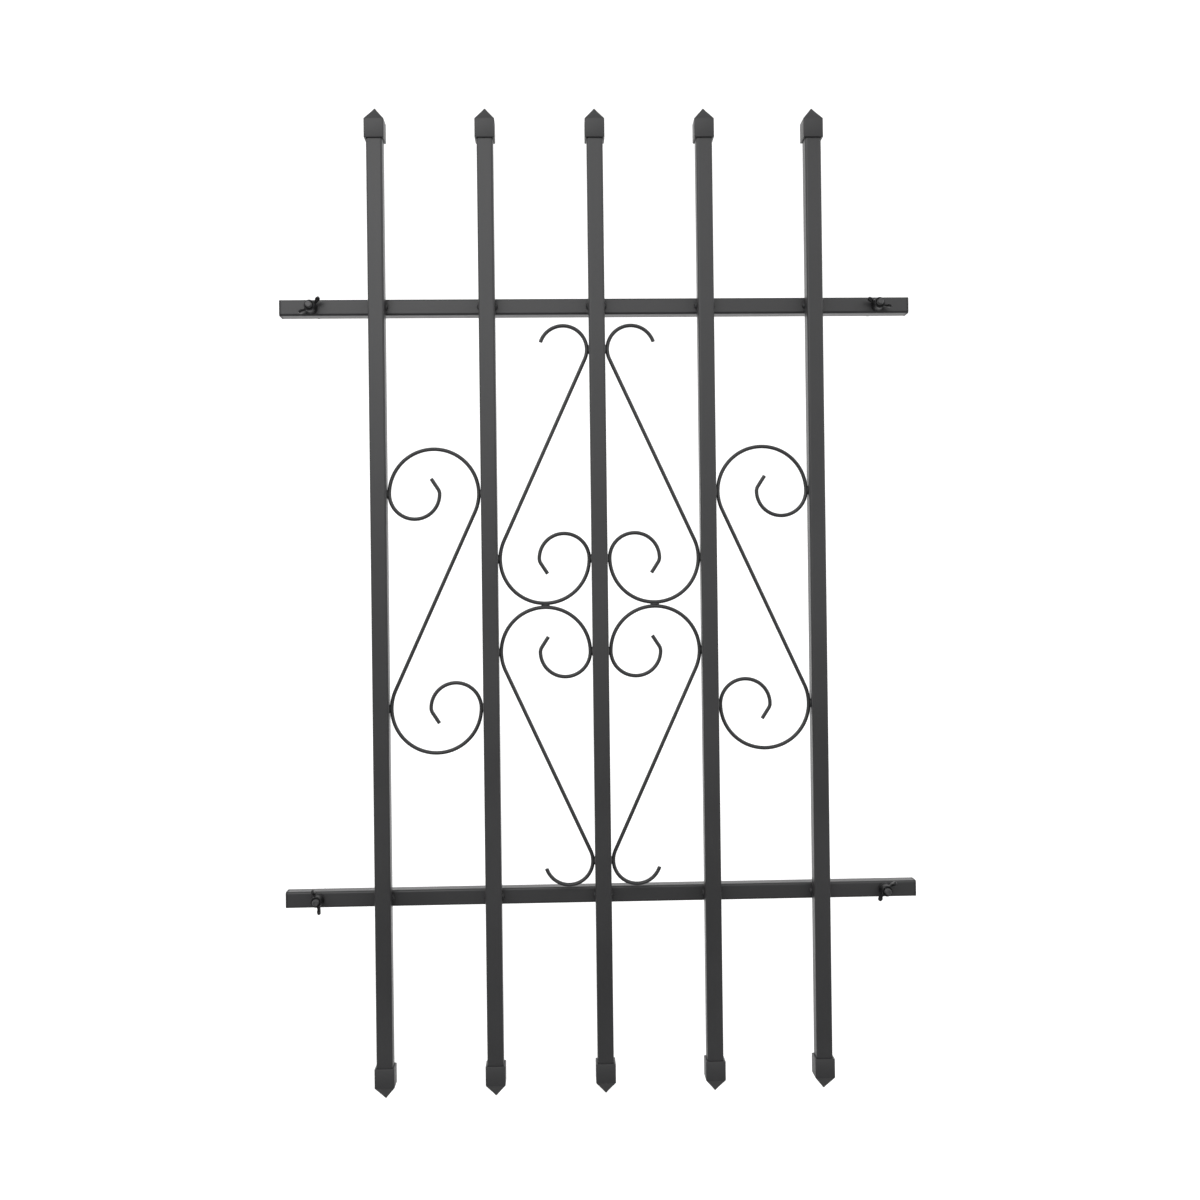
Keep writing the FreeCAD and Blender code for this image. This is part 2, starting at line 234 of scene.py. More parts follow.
def shell(grid, closed=True):
    """Points and faces of a grid of rings: rows along the piece, columns joined round it.

    Corner (row, column) joins (row, column + 1), (row + 1, column + 1) and (row + 1, column). On a
    closed shell one flat face closes the first ring and another the last.
    """
    rows, columns = grid.shape[:2]
    index = np.arange(rows * columns).reshape(rows, columns)
    after = np.roll(index, -1, axis=1)
    quads = np.stack([index[:-1], after[:-1], after[1:], index[1:]], axis=-1).reshape(-1, 4)
    faces = quads.tolist()
    if closed:
        faces += [index[0][::-1].tolist(), index[-1].tolist()]
    return grid.reshape(-1, 3), faces


def ring_shell(grid):
    """Points and faces of a grid that is joined both ways, as a ring with a hole is."""
    points, faces = shell(np.concatenate([grid, grid[:1]]), closed=False)
    count = grid.shape[0] * grid.shape[1]
    return points[:count], (np.array(faces) % count).tolist()


def make_piece(name, shells, crease=38):
    """One object from closed shells. Faces point outwards, and an edge that turns by more than
    crease, in degrees, stays sharp."""
    points, faces, first = [], [], 0
    for shell_points, shell_faces in shells:
        points.append(shell_points)
        faces += [[first + i for i in face] for face in shell_faces]
        first += len(shell_points)
    mesh = bpy.data.meshes.new(name)
    mesh.from_pydata(np.concatenate(points).tolist(), [], faces)
    work = bmesh.new()
    work.from_mesh(mesh)
    bmesh.ops.recalc_face_normals(work, faces=work.faces)
    work.to_mesh(mesh)
    work.free()
    mesh.shade_smooth()
    mesh.set_sharp_from_angle(angle=math.radians(crease))
    piece = bpy.data.objects.new(name, mesh)
    bpy.context.scene.collection.objects.link(piece)
    return piece


def finish_piece(piece, body, nodes, material):
    """Give a piece its material, the body that it moves with and the nodes that it stands for."""
    piece.data.materials.append(material)
    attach(piece, body)
    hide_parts(*nodes)


def round_the_axis(radius, along, columns):
    """Rings about the Y axis: radius and along are arrays of one value a row, or one a point.

    Point (row, angle) is (radius cos angle, along, radius sin angle).
    """
    turn = np.linspace(0, 2 * np.pi, columns, endpoint=False)
    radius = np.broadcast_to(radius.reshape(len(radius), -1), (len(radius), columns))
    along = np.broadcast_to(along.reshape(len(along), -1), radius.shape)
    return np.stack([radius * np.cos(turn), along, radius * np.sin(turn)], axis=-1)


def rounded_corner(x0, y0, x1, y1, centre_x, centre_y, count=5):
    """Quarter ellipse about a centre from one point to another: the centre plus cos t times the
    first point's offset plus sin t times the second's."""
    t = np.linspace(0, np.pi / 2, count)
    start, end = np.array([x0 - centre_x, y0 - centre_y]), np.array([x1 - centre_x, y1 - centre_y])
    return np.outer(np.cos(t), start) + np.outer(np.sin(t), end) + np.array([centre_x, centre_y])


# Scrolls


LONGEST_STRAIGHT = 12 * MM
WIDEST_TURN = math.radians(2.5)


def tangent_path(x, z, heading, steps):
    """Centre line of arcs and straight runs, each tangent to the one before.

    A step is (length, turn). Along it the heading grows evenly by turn, so with curvature k = turn
    over length a point at distance s is x + (sin(h + ks) - sin h) / k, z - (cos(h + ks) - cos h) / k,
    and on a straight run x + s cos h, z + s sin h. Returns rows of x, z and heading, no farther
    apart than the longest straight and the widest turn.
    """
    rows = []
    for run, turn in steps:
        count = max(math.ceil(run / LONGEST_STRAIGHT), math.ceil(abs(turn) / WIDEST_TURN))
        s = np.linspace(0, run, count + 1)
        if turn:
            k = turn / run
            h = heading + k * s
            path = [x + (np.sin(h) - math.sin(heading)) / k, z - (np.cos(h) - math.cos(heading)) / k, h]
        else:
            h = np.full_like(s, heading)
            path = [x + s * math.cos(heading), z + s * math.sin(heading), h]
        path = np.stack(path, axis=-1)
        rows.append(path[:-1])
        x, z, heading = path[-1]
    rows.append(path[-1:])
    return np.concatenate(rows)


def arc(radius, turn):
    """Step for an arc of this radius."""
    return radius * abs(turn), turn


def curl_steps(sizes, lean, big):
    """Steps of a curl from where its leaning leg meets the big arc."""
    quarter = math.pi / 2
    return [
        arc(big, lean + math.pi), arc(sizes.second_radius, quarter),
        arc(sizes.third_radius, quarter), arc(sizes.eye_radius, sizes.eye_turn),
        (sizes.eye_length, 0.0),
    ]


def big_radius(sizes):
    """Radius of a curl's big arc, which fills the bay between two bars."""
    return (BAR_PITCH - BAR_SIZE - WIRE) / 2 - sizes.scroll_gap


def c_scroll_path(sizes):
    """Upper scroll left of the middle bar, about the point where it meets the lower one.

    Its leg is the inner tangent of the hook's circle and the curl's: its lean is the arcsine of the
    radii's sum over the centres' distance, plus the lean of the line between the centres.
    """
    big, hook = big_radius(sizes), sizes.hook_radius
    curl_z = (WIRE + sizes.scroll_gap) / 2 + big
    hook_x, hook_z = big - hook, curl_z - big + sizes.c_scroll_height - hook
    apart = math.hypot(hook_x, hook_z - curl_z)
    lean = math.asin((big + hook) / apart) + math.atan2(hook_x, hook_z - curl_z)
    leg = math.sqrt(apart**2 - (big + hook) ** 2)
    end = math.pi - sizes.hook_end
    steps = [arc(hook, -(end + lean)), (leg, 0.0)] + curl_steps(sizes, lean, big)
    x, z = hook_x + hook * math.cos(end), hook_z + hook * math.sin(end)
    return tangent_path(x, z, math.pi / 2 - sizes.hook_end, steps)


def s_scroll_path(sizes):
    """Left-hand S scroll about its centre: a half turned about the centre gives the other half."""
    big = big_radius(sizes)
    curl_z = sizes.s_scroll_height / 2 - big
    lean = math.asin(big / curl_z)
    half_leg = math.sqrt(curl_z**2 - big**2)
    steps = [(half_leg, 0.0)] + curl_steps(sizes, lean, big)
    lower = tangent_path(0.0, 0.0, 1.5 * math.pi - lean, steps)
    upper = lower[:0:-1] * np.array([-1, -1, 1])
    return np.concatenate([upper, lower])


END_PLACES = np.array([0.0, 0.12, 0.35, 0.7]) * MM
END_SHARES = np.array([0.80, 0.93, 0.985, 1.0])


def wire_shell(path, centre, flip_x, flip_z, columns=20):
    """Round wire along a path in the XZ plane.

    A ring's point is the path's point plus radius times (cos a normal + sin a Y). The wire's ends
    are sheared: at the end places, the radius shrinks to the end shares of its own.
    """
    x, z, heading = path.T
    lead, count = END_PLACES, len(END_PLACES)
    start = np.stack([x[0] + lead * np.cos(heading[0]), z[0] + lead * np.sin(heading[0])], axis=-1)
    end = np.stack([x[-1] - lead * np.cos(heading[-1]), z[-1] - lead * np.sin(heading[-1])], axis=-1)
    places = np.concatenate([start, np.stack([x, z], axis=-1)[1:-1], end[::-1]])
    headings = np.concatenate([
        np.full(count, heading[0]), heading[1:-1], np.full(count, heading[-1])
    ])
    radii = WIRE / 2 * np.concatenate([END_SHARES, np.ones(len(x) - 2), END_SHARES[::-1]])
    turn = np.linspace(0, 2 * np.pi, columns, endpoint=False)
    inward = radii[:, None] * np.cos(turn)
    across = places[:, 0, None] - inward * np.sin(headings)[:, None]
    height = places[:, 1, None] + inward * np.cos(headings)[:, None]
    depth = BAR_Y + radii[:, None] * np.sin(turn)
    grid = np.stack([centre[0] + flip_x * across, depth, centre[1] + flip_z * height], axis=-1)
    return shell(grid)


class GRILLE_OT_scrolls(bpy.types.Operator):
    """Bend the round wire into two S scrolls and four C scrolls"""

    bl_idname = "grille.scrolls"
    bl_label = "Scrolls"

    def execute(self, context):
        sizes = context.scene.grille_sizes
        material = coat("scroll_coat", context.scene.grille_colours.wire, roughness=0.36, peel=0.5)
        s_path, c_path = s_scroll_path(sizes), c_scroll_path(sizes)
        for side, sign in SIDES.items():
            outer = (sign * 1.5 * BAR_PITCH, middle_of("scroll_" + side).z)
            inner = (sign * 0.5 * BAR_PITCH, sizes.c_scroll_middle)
            wires = {
                "scroll_" + side: wire_shell(s_path, outer, -sign, 1),
                "scroll_upper_" + side: wire_shell(c_path, inner, -sign, 1),
                "scroll_lower_" + side: wire_shell(c_path, inner, -sign, -1),
            }
            for node, wire in wires.items():
                piece = make_piece(node + "_wire", [wire])
                finish_piece(piece, BODY, [node], material)
        return {"FINISHED"}


# Caps


def square_rings(half, round_radius, heights, columns=40):
    """Rings of a rounded square about the Z axis: half side and corner radius by row.

    Round a quarter, the angle runs 0 to 90 degrees in each corner, and a point is the corner's
    centre plus the radius times (cos, sin); the straight sides are the steps between corners.
    """
    per_corner = columns // 4
    turn = np.linspace(0, np.pi / 2, per_corner)
    quarter = np.arange(4)[:, None] * np.pi / 2
    turn = (turn + quarter).ravel()
    corner = np.repeat(np.arange(4) * np.pi / 2 + np.pi / 4, per_corner)
    reach = (np.asarray(half) - np.asarray(round_radius))[:, None] * math.sqrt(2)
    radius = np.asarray(round_radius)[:, None]
    x = reach * np.cos(corner) + radius * np.cos(turn)
    y = reach * np.sin(corner) + radius * np.sin(turn)
    z = np.broadcast_to(np.asarray(heights)[:, None], x.shape)
    return np.stack([x, y, z], axis=-1)


CAP_CREASE = 60  # degrees, so that the pyramid's edges stay soft
FLATTEST_TIP = 0.08  # angle, in radians, where the tip's arc stops short of the axis


def cap_grid(sizes):
    """Pointed sleeve cap for a bar's top, about the bar's axis.

    Its outline of half side and height starts at the socket's ceiling on the bar's end, runs down
    inside the sleeve, turns round the rim and runs up the outside. An arc turns it at the shoulder
    from upright to the pyramid's slope, a straight line takes it up, and an arc of the tip's radius
    turns it level on the axis.
    """
    half, low, high = CAP_SIZE / 2, CAP_LOW, CAP_HIGH
    edge, tip, rim, chamfer = sizes.cap_edge, sizes.cap_tip, sizes.cap_rim, sizes.cap_chamfer
    shoulder = high - sizes.cap_point
    slope = math.atan2(sizes.cap_point + 0.7 * tip, half)
    bend = np.linspace(0, math.pi / 2 - slope, 5)
    run = edge * math.tan((math.pi / 2 - slope) / 2)
    round_half = half - edge + edge * np.cos(bend)
    round_z = shoulder - run + edge * np.sin(bend)
    blunt = np.linspace(slope, FLATTEST_TIP, 5)
    tip_half, tip_z = tip * np.sin(blunt), high - tip + tip * np.cos(blunt)
    share = np.array([0.25, 0.5, 0.75])
    face_half = round_half[-1] + (tip_half[0] - round_half[-1]) * share
    face_z = round_z[-1] + (tip_z[0] - round_z[-1]) * share
    socket = BAR_SIZE / 2 + sizes.cap_gap
    sleeve_half = [socket, socket, socket + chamfer, half - rim, half - rim / 4, half, half]
    sleeve_z = [BAR_TOP, low + 2 * chamfer, low, low, low + rim / 4, low + rim, shoulder - 2 * run]
    halves = np.concatenate([sleeve_half, round_half, face_half, tip_half])
    heights = np.concatenate([sleeve_z, round_z, face_z, tip_z])
    return square_rings(halves, np.minimum(edge, halves * 0.45), heights)


class GRILLE_OT_caps(bpy.types.Operator):
    """Make the pointed sleeve caps on the ten bar ends"""

    bl_idname = "grille.caps"
    bl_label = "Caps"

    def execute(self, context):
        sizes = context.scene.grille_sizes
        material = coat("cap_coat", context.scene.grille_colours.cap, roughness=0.38, peel=0.7)
        grid = cap_grid(sizes)
        for number, x in enumerate(BAR_XS, 1):
            for row, sign in ROWS.items():
                node = "cap_" + row + "_" + str(number)
                placed = grid * np.array([1, 1, sign]) + np.array([x, BAR_Y, 0])
                piece = make_piece(node + "_sleeve", [shell(placed)], CAP_CREASE)
                finish_piece(piece, BODY, [node], material)
        return {"FINISHED"}


# Welds


POLE_GAP = 0.06  # latitude, in radians, left open at a tack's poles, which a flat face closes

# First seeds of the tacks in each group
RAIL_SEED = 5
OUTER_SEED = 300
MIDDLE_SEED = 400
MEETING_SEED = 500


def blob(centre, radii, seed, rows=22, columns=28):
    """Lumpy weld tack: an ellipsoid whose radius swells by a few slow waves over its two angles.

    With latitude a, longitude b and random phases p, q and r of 0 to 6 radians, the swelling is
    1 + 0.07 sin(3a + p) cos(2b + q) + 0.05 sin(5b + r + 4a) + 0.035 sin(13a), times a random size
    from 0.9 to 1.
    """
    p, q, r, stretch = np.random.default_rng(seed).uniform(0, 1, 4) * np.array([6, 6, 6, 1])
    a = np.linspace(POLE_GAP, np.pi - POLE_GAP, rows)[:, None]
    b = np.linspace(0, 2 * np.pi, columns, endpoint=False)[None, :]
    swell = 1 + 0.07 * np.sin(3 * a + p) * np.cos(2 * b + q)
    swell = swell + 0.05 * np.sin(5 * b + r + 4 * a) + 0.035 * np.sin(13 * a)
    swell = swell * (0.90 + 0.10 * stretch)
    unit = np.stack([np.sin(a) * np.cos(b), np.sin(a) * np.sin(b), np.cos(a) + 0 * b], axis=-1)
    return shell(np.asarray(centre) + unit * swell[..., None] * np.asarray(radii))


def rail_tacks(sizes, row):
    """Two tacks beside each bar, in the corner that it makes with the rail's face."""
    radii = (sizes.weld_across, sizes.weld_across, sizes.weld_along)
    shells = []
    for number, x in enumerate(BAR_XS):
        for sign in (-1, 1):
            centre = (x + sign * BAR_SIZE / 2, RAIL_FRONT, RAIL_ZS[row])
            seed = RAIL_SEED + 10 * number + sign + 100 * (row == "top")
            shells.append(blob(centre, radii, seed))
    return shells


def bar_tack(sizes, x, side, z, seed):
    """Tack between a scroll and the side of the bar at x."""
    radii = (sizes.scroll_weld_across, sizes.scroll_weld_across, sizes.scroll_weld_along)
    return blob((x + side * BAR_SIZE / 2, BAR_Y, z), radii, seed)


def scroll_tacks(sizes):
    """Tacks by node: in the outer bays, in the middle bays, and where two C scrolls meet."""
    big, half_bay = big_radius(sizes), BAR_PITCH / 2
    s_curl, s_middle = sizes.s_scroll_height / 2 - big, middle_of("scroll_left").z
    c_start = (WIRE + sizes.scroll_gap) / 2
    c_curl, c_hook = c_start + big, c_start + sizes.c_scroll_height - sizes.hook_radius
    outer, middle, meeting = [], [], []
    for sign in SIDES.values():
        bay = sign * 1.5 * BAR_PITCH
        for z in (s_middle - s_curl, s_middle + s_curl):
            for edge in (-1, 1):
                seed = OUTER_SEED + len(outer)
                outer.append(bar_tack(sizes, bay + edge * half_bay, -edge, z, seed))
        bay = sign * 0.5 * BAR_PITCH
        for flip in (-1, 1):
            for edge, height in ((sign, c_curl), (-sign, c_curl), (-sign, c_hook)):
                z, seed = sizes.c_scroll_middle + flip * height, MIDDLE_SEED + len(middle)
                middle.append(bar_tack(sizes, bay + edge * half_bay, -edge, z, seed))
        radii = (sizes.scroll_weld_along, sizes.scroll_weld_across, sizes.scroll_weld_across)
        meeting.append(blob((bay, BAR_Y, sizes.c_scroll_middle), radii, MEETING_SEED + sign))
    return {
        "scroll_welds_outer": outer, "scroll_welds_middle": middle, "scroll_welds_meeting": meeting
    }


class GRILLE_OT_welds(bpy.types.Operator):
    """Lay the weld tacks on the rails and scrolls"""

    bl_idname = "grille.welds"
    bl_label = "Weld tacks"

    def execute(self, context):
        sizes = context.scene.grille_sizes
        material = weld_coat("weld_coat", context.scene.grille_colours.wire)
        groups = {"rail_welds_" + row: rail_tacks(sizes, row) for row in ROWS}
        groups.update(scroll_tacks(sizes))
        for node, shells in groups.items():
            piece = make_piece(node + "_tacks", shells)
            finish_piece(piece, BODY, [node], material)
        return {"FINISHED"}


# Fasteners


STUD_COLUMNS = 40
COLLAR_GAP = 0.01 * MM  # keeps the collar's face off the rail's
POINT_RADIUS = 0.08 * MM
NUT_CREASE = 180  # degrees, so that no edge of a casting is sharp


# Shares of half a pitch that a thread's flat root and its flank take; its crest takes the rest
ROOT_SHARE, FLANK_SHARE = 0.12, 0.72


def ridge(phase):
    """Thread ridge over one turn's advance: a triangle wave from 0 in the root to 1 on the crest,
    flattened at both."""
    wave = 2 * np.abs(phase - np.floor(phase) - 0.5)
    return np.clip((wave - ROOT_SHARE) / FLANK_SHARE, 0, 1)


def round_the_stud(start, end, pitch, rows_a_turn):
    """Rows along Y and shares of a turn round it, on which a thread of this pitch is worked out."""
    rows = int((end - start) / pitch * rows_a_turn) + 1
    y = np.linspace(start, end, rows)[:, None]
    return y, np.linspace(0, 1, STUD_COLUMNS, endpoint=False)[None, :]


def machine_grid(sizes):
    """Right-hand machine thread about the Y axis, from the stud's front end to its collar.

    The radius is the crests' less depth times (1 - ridge(y / pitch + share of a turn)). The depth
    fades out before the collar, and a chamfer of 45 degrees cuts the front end.
    """
    y, share = round_the_stud(STUD_FRONT, RAIL_BACK, sizes.thread_pitch, 9)
    depth = np.clip((RAIL_BACK - y) / sizes.thread_fade, 0, 1) * sizes.thread_depth
    radius = sizes.thread_radius - depth * (1 - ridge(y / sizes.thread_pitch + share))
    cone = sizes.thread_radius - sizes.thread_chamfer + (y - STUD_FRONT)
    return round_the_axis(np.minimum(radius, cone), y, STUD_COLUMNS)


def hexagon_grid(across_flats, start, end, chamfer, columns=72):
    """Hexagonal collar: the radius is half the flats over the cosine of the angle from the nearest
    flat's middle, held inside a circle that closes in by 1.6 chamfers at both faces."""
    turn = np.linspace(0, 2 * np.pi, columns, endpoint=False)
    from_flat = np.mod(turn + np.pi / 6, np.pi / 3) - np.pi / 6
    prism = across_flats / 2 / np.cos(from_flat)
    inset = np.array([0.0, 0.5, 1.0]) * chamfer
    along = np.concatenate([start + inset, end - inset[::-1]])
    corner = across_flats / 2 / math.cos(math.pi / 6)
    limit = corner - np.array([1.0, 0.45, 0.0, 0.0, 0.45, 1.0]) * chamfer * 1.6
    return round_the_axis(np.minimum(prism[None, :], limit[:, None]), along, columns)


def screw_grid(sizes):
    """Wood screw about the Y axis, from the collar's back to its point.

    The radius is the crests' less depth times (1 - ridge cubed), which leaves sharp crests between
    wide roots. The depth grows from nothing at the collar, and all of it tapers to the point.
    """
    y, share = round_the_stud(0.0, STUD_BACK, sizes.screw_pitch, 16)
    depth = np.clip(y / sizes.screw_start, 0, 1) * sizes.screw_depth
    radius = sizes.screw_radius - depth * (1 - ridge(y / sizes.screw_pitch + share) ** 3)
    taper = np.clip((STUD_BACK - y) / sizes.screw_point, 0, 1) ** 0.8
    return round_the_axis(np.minimum(radius * taper + POINT_RADIUS, sizes.screw_radius), y, STUD_COLUMNS)


class GRILLE_OT_studs(bpy.types.Operator):
    """Cut the four hanger studs with their threads"""

    bl_idname = "grille.studs"
    bl_label = "Studs"

    def execute(self, context):
        # The studs take the lightened colour, which is a painted sheen on their ends.
        sizes, base = context.scene.grille_sizes, context.scene.grille_colours.stud
        material = zinc("stud_zinc_painted_sheen", base, roughness=0.34, metallic=0.3)
        collar = hexagon_grid(COLLAR_FLATS, RAIL_BACK + COLLAR_GAP, 0.0, sizes.collar_chamfer)
        grids = [machine_grid(sizes), collar, screw_grid(sizes)]
        for corner in CORNERS:
            node = "stud_" + corner
            place = middle_of(node)
            offset = np.array([place.x, 0, place.z])
            piece = make_piece(node + "_threads", [shell(grid + offset) for grid in grids])
            finish_piece(piece, BODY, [node], material)
        return {"FINISHED"}


def washer_grid(sizes):
    """Washer about the Y axis: a closed outline of radius and depth with rounded edges, turned."""
    outer, inner = WASHER_SIZE.x / 2, sizes.washer_bore
    thick, edge = WASHER_SIZE.y, sizes.washer_edge
    outline = np.concatenate([
        rounded_corner(outer - edge, 0, outer, edge, outer - edge, edge),
        rounded_corner(outer, thick - edge, outer - edge, thick, outer - edge, thick - edge),
        rounded_corner(inner + edge, thick, inner, thick - edge, inner + edge, thick - edge),
        rounded_corner(inner, edge, inner + edge, 0, inner + edge, edge),
    ])
    return round_the_axis(outline[:, 0], outline[:, 1], columns=64)


def seat_of(washer):
    """Middle of a washer's front face, where its nut sits."""
    place = middle_of(washer)
    return np.array([place.x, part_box(washer)[0].y, place.z])


class GRILLE_OT_washers(bpy.types.Operator):
    """Stamp the four washers"""

    bl_idname = "grille.washers"
    bl_label = "Washers"

    def execute(self, context):
        base = context.scene.grille_colours.zinc
        material = zinc("washer_zinc", base, roughness=0.40, metallic=0.6)
        grid = washer_grid(context.scene.grille_sizes)
        for corner in CORNERS:
            node = "washer_" + corner
            piece = make_piece(node + "_disc", [ring_shell(grid + seat_of(node))])
            finish_piece(piece, node, [node], material)
        return {"FINISHED"}


def hub_grid(sizes):
    """Hub of a wing nut about the Y axis, from its seat at y = 0 towards the room.

    Its outline of radius and height goes up a short flange, in to the tapered hub, over the rounded
    top and down the bore, which is chamfered at both ends.
    """
    base, top, high = sizes.nut_base / 2, sizes.nut_top / 2, sizes.nut_height
    bore, edge, foot, mouth = sizes.nut_bore, sizes.nut_edge, sizes.nut_foot_edge, sizes.nut_mouth
    flange_top, step_top, step, waist = 1.4 * MM, 2.1 * MM, 0.45 * MM, 0.3 * MM
    outline = np.concatenate([
        rounded_corner(base - foot, 0, base, foot, base - foot, foot),
        [[base, flange_top], [base - step, step_top], [(base + top) / 2 - waist, high / 2]],
        rounded_corner(top, high - edge, top - edge, high, top - edge, high - edge),
        [[bore + mouth, high], [bore, high - mouth], [bore, high / 2], [bore, mouth], [bore + mouth, 0]],
    ])
    return round_the_axis(outline[:, 0], -outline[:, 1], columns=72)


# Radius and height of the points that a wing's curve starts from and bends towards, and how far its
# last point lies inside the wing's own reach and rise
WING_ROOT = (4.4 * MM, 4.4 * MM)
WING_KNEE = (10.2 * MM, 3.8 * MM)
WING_INSET = (2.3 * MM, 2.6 * MM)

# Half width of a wing at its root, how much it loses by the tip, and the tip's stretch
WING_WIDTH = 3.1 * MM
WING_NARROWING = 1.0 * MM
WING_STRETCH = 1.2 * MM


def wing_grid(sizes, side):
    """One wing: an oval carried along a curve that sweeps out of the hub and up to the tip.

    The curve is a quadratic Bezier in radius and height. The oval's width across the curve falls
    from root to tip, its thickness swells at the tip, and over the last fifth both close in a round
    end while the curve is stretched along itself.
    """
    t = np.linspace(0.0, 1.0, 30)
    tip = (sizes.wing_reach - WING_INSET[0], NUT_RISE - WING_INSET[1])
    points = list(zip(WING_ROOT, WING_KNEE, tip))
    curve = [(1 - t) ** 2 * a + 2 * t * (1 - t) * b + t**2 * c for a, b, c in points]
    slope = [2 * (1 - t) * (b - a) + 2 * t * (c - b) for a, b, c in points]
    size = np.hypot(*slope)
    last_fifth = np.clip((t - 0.8) / 0.2, 0, 1)
    close = np.sqrt(np.clip(1 - last_fifth**2, 0.02, 1))
    width = (WING_WIDTH - WING_NARROWING * t) * close
    thick = sizes.wing_thickness / 2 * (0.92 - 0.12 * np.sin(np.pi * t) + 0.28 * t**3) * close
    curve = [c + WING_STRETCH * last_fifth * s / size for c, s in zip(curve, slope)]
    turn = np.linspace(0, 2 * np.pi, 32, endpoint=False)
    bulge = np.sign(np.cos(turn)) * np.abs(np.cos(turn)) ** 0.75
    flat = np.sign(np.sin(turn)) * np.abs(np.sin(turn)) ** 0.6
    across = width[:, None] * bulge
    reach = curve[0][:, None] - across * (slope[1] / size)[:, None]
    rise = curve[1][:, None] + across * (slope[0] / size)[:, None]
    return np.stack([side * reach, -rise, thick[:, None] * flat], axis=-1)


def cast_nut(sizes):
    """Points and faces of one wing nut: hub and wings blended by fine cells, then smoothed."""
    shells = [ring_shell(hub_grid(sizes))] + [shell(wing_grid(sizes, side)) for side in (-1, 1)]
    rough = make_piece("nut_pattern", shells)
    cells = rough.modifiers.new("Blend", "REMESH")
    cells.mode = "VOXEL"
    cells.voxel_size = sizes.wing_grain
    smooth = rough.modifiers.new("Smooth", "SMOOTH")
    smooth.factor = 0.5
    smooth.iterations = 6
    mesh = bpy.data.meshes.new_from_object(rough.evaluated_get(bpy.context.evaluated_depsgraph_get()))
    points = np.empty(len(mesh.vertices) * 3)
    mesh.vertices.foreach_get("co", points)
    faces = [list(face.vertices) for face in mesh.polygons]
    bpy.data.objects.remove(rough)
    return points.reshape(-1, 3), faces


class GRILLE_OT_wing_nuts(bpy.types.Operator):
    """Cast the four wing nuts"""

    bl_idname = "grille.wing_nuts"
    bl_label = "Wing nuts"

    def execute(self, context):
        sizes, base = context.scene.grille_sizes, context.scene.grille_colours.zinc
        material = zinc("nut_zinc", base, roughness=0.38, metallic=0.6)
        points, faces = cast_nut(sizes)
        for corner, turn in zip(CORNERS, sizes.wing_turns):
            node = "wing_nut_" + corner
            spin = np.array(Matrix.Rotation(turn, 3, Vector((0, -1, 0))))
            place = seat_of("washer_" + corner)
            piece = make_piece(node + "_casting", [(points @ spin.T + place, faces)], NUT_CREASE)
            finish_piece(piece, node, [node], material)
        return {"FINISHED"}


# Coatings


class Value:
    """A number that varies over a surface. Arithmetic on it adds Math nodes to its material."""

    def __init__(self, maker, socket):
        self.maker, self.socket = maker, socket

    def math(self, operation, first, second):
        """Value of a Math node on two numbers or values."""
        node = self.maker.node("ShaderNodeMath", {"operation": operation}, {0: first, 1: second})
        return Value(self.maker, node.outputs[0])

    def __add__(self, other):
        return self.math("ADD", self, other)

    def __sub__(self, other):
        return self.math("SUBTRACT", self, other)

    def __rsub__(self, other):
        return self.math("SUBTRACT", other, self)

    def __mul__(self, other):
        return self.math("MULTIPLY", self, other)

    __radd__ = __add__
    __rmul__ = __mul__


class Maker:
    """Makes the nodes of one material or world."""

    def __init__(self, owner):
        owner.use_nodes = True
        self.owner, self.tree = owner, owner.node_tree
        self.tree.nodes.clear()

    def node(self, kind, settings=None, sockets=None):
        """Add a node: first its settings, such as a ramp's stops, then its sockets' values or links."""
        node = self.tree.nodes.new(kind)
        for name, value in (settings or {}).items():
            if name == "stops":
                ramp = node.color_ramp
                while len(ramp.elements) < len(value):
                    ramp.elements.new(1.0)
                for element, (place, level) in zip(ramp.elements, value):
                    element.position = place
                    element.color = (level, level, level, 1)
            else:
                setattr(node, name, value)
        for name, value in (sockets or {}).items():
            if isinstance(value, Value):
                value = value.socket
            if isinstance(value, bpy.types.NodeSocket):
                self.tree.links.new(value, node.inputs[name])
            else:
                node.inputs[name].default_value = value
        return node

    def coordinates(self, stretch=(1, 1, 1)):
        """Object coordinates, in metres, stretched along each axis."""
        place = self.node("ShaderNodeTexCoord").outputs["Object"]
        return self.node("ShaderNodeMapping", None, {"Vector": place, "Scale": stretch}).outputs[0]

    def noise(self, scale, detail=2.0, place=None):
        """Soft noise from 0 to 1 with this many lumps to a metre."""
        place = place or self.coordinates()
        sockets = {"Vector": place, "Scale": scale, "Detail": detail}
        return Value(self, self.node("ShaderNodeTexNoise", None, sockets).outputs[0])

    def sharpen(self, value, low, high):
        """Value spread so that low becomes 0 and high becomes 1."""
        stops = {"stops": [(low, 0.0), (high, 1.0)]}
        return Value(self, self.node("ShaderNodeValToRGB", stops, {0: value}).outputs[0])

    def blend(self, share, first, second):
        """Colour between two colours."""
        sockets = {0: share, 6: (*first, 1), 7: (*second, 1)}
        return self.node("ShaderNodeMix", {"data_type": "RGBA"}, sockets).outputs[2]

    def bump(self, height, distance, strength):
        """Normal from a height pattern, whose full height is this distance in metres."""
        sockets = {"Height": height, "Distance": distance, "Strength": strength}
        return self.node("ShaderNodeBump", None, sockets).outputs[0]

    def principled(self, sockets):
        """Principled shader."""
        return self.node("ShaderNodeBsdfPrincipled", None, sockets).outputs[0]

    def seen_or_light(self, seen, light):
        """First shader where it is looked at directly, second where it lights something."""
        direct = self.node("ShaderNodeLightPath").outputs["Is Camera Ray"]
        return self.node("ShaderNodeMixShader", None, {0: direct, 1: light, 2: seen}).outputs[0]

    def surface(self, sockets):
        """Principled surface joined to the output."""
        self.node("ShaderNodeOutputMaterial", None, {"Surface": self.principled(sockets)})
        return self.owner


